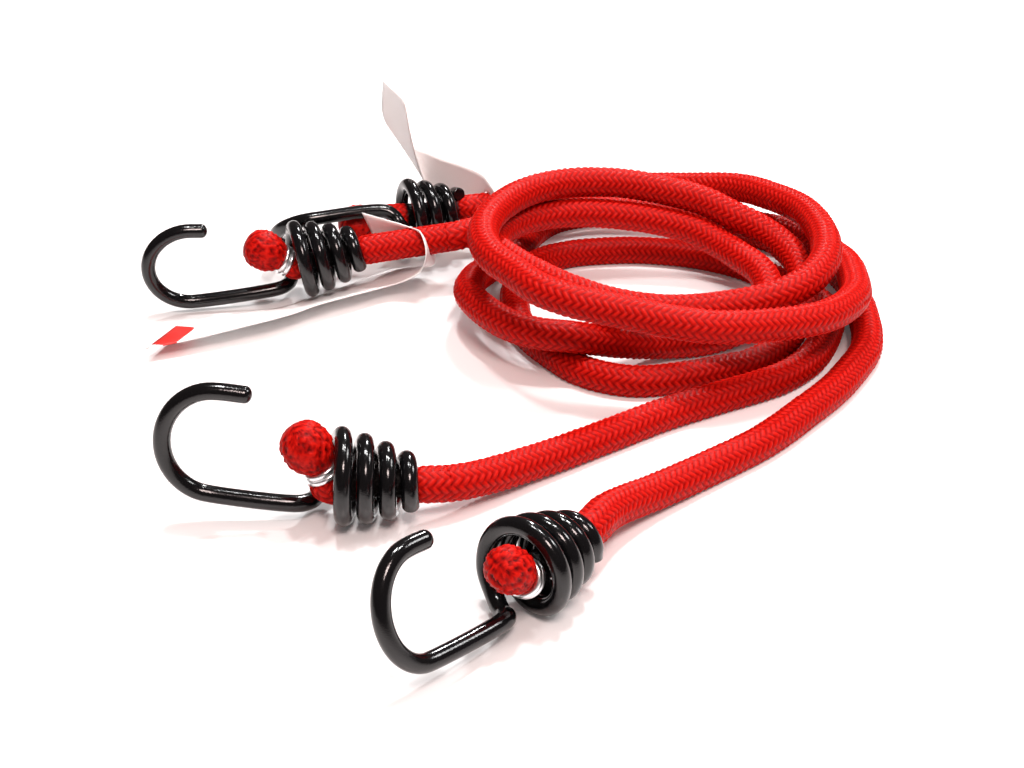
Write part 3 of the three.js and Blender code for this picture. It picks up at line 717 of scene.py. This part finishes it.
def make_tag(n, tag):
    still, _, x = hook_axes(HOOKS[tag["hook"]])
    mouth = still([0, 0, 0])
    middle = centripetal(still([m for m, _ in tag["strip"]]), TAG_ROWS)
    half = centripetal(still([w for _, w in tag["strip"]]) - mouth, TAG_ROWS)
    dirs = directions(middle)
    normal = unit(np.cross(dirs, half))
    share = np.linspace(-1, 1, TAG_COLUMNS)
    sheet = middle[:, None] + share[None, :, None] * half[:, None]
    rows = len(middle)
    skin = normal[:, None] * TAG_THICK / 2
    both = np.concatenate([sheet + skin, sheet - skin])

    def index(layer, i, k):
        return (layer * rows + i) * TAG_COLUMNS + k

    faces = []
    for i in range(rows - 1):
        for k in range(TAG_COLUMNS - 1):
            faces.append((index(0, i, k), index(0, i, k + 1), index(0, i + 1, k + 1), index(0, i + 1, k)))
            faces.append((index(1, i, k), index(1, i + 1, k), index(1, i + 1, k + 1), index(1, i, k + 1)))
        for k, flip in ((0, True), (TAG_COLUMNS - 1, False)):
            edge = (index(0, i, k), index(1, i, k), index(1, i + 1, k), index(0, i + 1, k))
            faces.append(edge[::-1] if flip else edge)
    for i, flip in ((0, False), (rows - 1, True)):
        for k in range(TAG_COLUMNS - 1):
            edge = (index(0, i, k), index(1, i, k), index(1, i, k + 1), index(0, i, k + 1))
            faces.append(edge[::-1] if flip else edge)
    strip = add(f"paper_tag_{n}_strip", both.reshape(-1, 3), faces, PAPER)
    spot = still([tag["hole"], 0, 0])
    ring = np.vstack([spot - x * HOLE_HALF, spot, spot + x * HOLE_HALF])
    points, cutter_faces = tube(ring, np.full(len(ring), HOLE_R), HOLE_SIDES)
    cutter = add("hole_cutter", points, cutter_faces, PAPER)
    cut = strip.modifiers.new("hole", "BOOLEAN")
    cut.object = cutter
    cut.operation = "DIFFERENCE"
    cut.solver = "EXACT"
    bpy.context.view_layer.update()
    done = bpy.data.meshes.new_from_object(strip.evaluated_get(bpy.context.evaluated_depsgraph_get()))
    strip.modifiers.clear()
    strip.data = done
    bpy.data.objects.remove(cutter)
    off_patch = np.full(len(done.vertices), NO_PATCH)
    if n == 1:
        co = np.zeros(len(done.vertices) * 3)
        done.vertices.foreach_get("co", co)
        offset = co.reshape(-1, 3) / MM - middle[-1]
        off_patch = patch_distance(offset, unit(half[-1]), normal[-1], dirs[-1])
    values = done.attributes.new("off_patch", "FLOAT", "POINT").data
    values.foreach_set("value", off_patch.astype(np.float32))
    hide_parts(f"paper_tag_{n}")
    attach(strip, tag["body"])


for cord in CORDS:
    make_cord(cord)
for n in HOOKS:
    make_hook(n)
    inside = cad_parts[f"hook_{n}_steel_wire"]
    inside.data.materials.clear()
    inside.data.materials.append(STEEL)
for n, tag in TAGS.items():
    make_tag(n, tag)


# Floor, light and camera

def make_floor():
    bpy.ops.mesh.primitive_plane_add(size=FLOOR_SIZE)
    floor = bpy.context.object
    floor.name = "floor"
    m, nodes, links, shader = material("white_floor", FLOOR_WHITE, roughness=0.16, Specular_IOR_Level=0.35)
    glow = node(nodes, "ShaderNodeEmission", Strength=1.0)
    ray = node(nodes, "ShaderNodeLightPath")
    part = node(nodes, "ShaderNodeMath", operation="MULTIPLY")
    part.inputs[1].default_value = FLOOR_GLOW
    links.new(ray.outputs["Is Camera Ray"], part.inputs[0])
    mix = node(nodes, "ShaderNodeMixShader")
    links.new(part.outputs[0], mix.inputs[0])
    links.new(shader.outputs[0], mix.inputs[1])
    links.new(glow.outputs[0], mix.inputs[2])
    links.new(mix.outputs[0], nodes["Material Output"].inputs["Surface"])
    floor.data.materials.append(m)


def area_light(name, place, size, power, colour, mirrored):
    data = bpy.data.lights.new(name, "AREA")
    data.shape = "DISK"
    data.size = size
    data.energy = power
    data.color = colour
    lamp = bpy.data.objects.new(name, data)
    lamp.location = place
    lamp.rotation_euler = (-Vector(place)).to_track_quat("-Z", "Y").to_euler()
    lamp.visible_glossy = mirrored
    bpy.context.scene.collection.objects.link(lamp)


def make_world():
    world = bpy.data.worlds.new("studio")
    bpy.context.scene.world = world
    world.use_nodes = True
    nodes, links = world.node_tree.nodes, world.node_tree.links
    background = nodes["Background"]
    ray = node(nodes, "ShaderNodeLightPath")
    tint = node(nodes, "ShaderNodeMix", data_type="RGBA")
    links.new(ray.outputs["Is Camera Ray"], tint.inputs[0])
    tint.inputs[COLOUR_A].default_value = WORLD_WARM
    tint.inputs[COLOUR_B].default_value = (*WHITE, 1)
    links.new(tint.outputs[COLOUR_OUT], background.inputs["Color"])
    level = node(nodes, "ShaderNodeMix", data_type="FLOAT")
    links.new(ray.outputs["Is Camera Ray"], level.inputs[0])
    level.inputs[NUMBER_A].default_value = WORLD_LIGHT
    level.inputs[NUMBER_B].default_value = WORLD_SEEN
    mirrored = node(nodes, "ShaderNodeMix", data_type="FLOAT")
    links.new(ray.outputs["Is Glossy Ray"], mirrored.inputs[0])
    links.new(level.outputs[0], mirrored.inputs[NUMBER_A])
    mirrored.inputs[NUMBER_B].default_value = WORLD_MIRRORED
    links.new(mirrored.outputs[0], background.inputs["Strength"])


make_floor()
make_world()
for light in LIGHTS:
    area_light(*light)

camera_data = bpy.data.cameras.new("camera")
camera_data.lens = LENS
camera_data.sensor_width = FILM
camera = bpy.data.objects.new("camera", camera_data)
camera.location = CAMERA_AT
camera.rotation_euler = (math.radians(CAMERA_UP), 0, 0)
bpy.context.scene.collection.objects.link(camera)
bpy.context.scene.camera = camera
bpy.context.scene.view_settings.view_transform = "Standard"
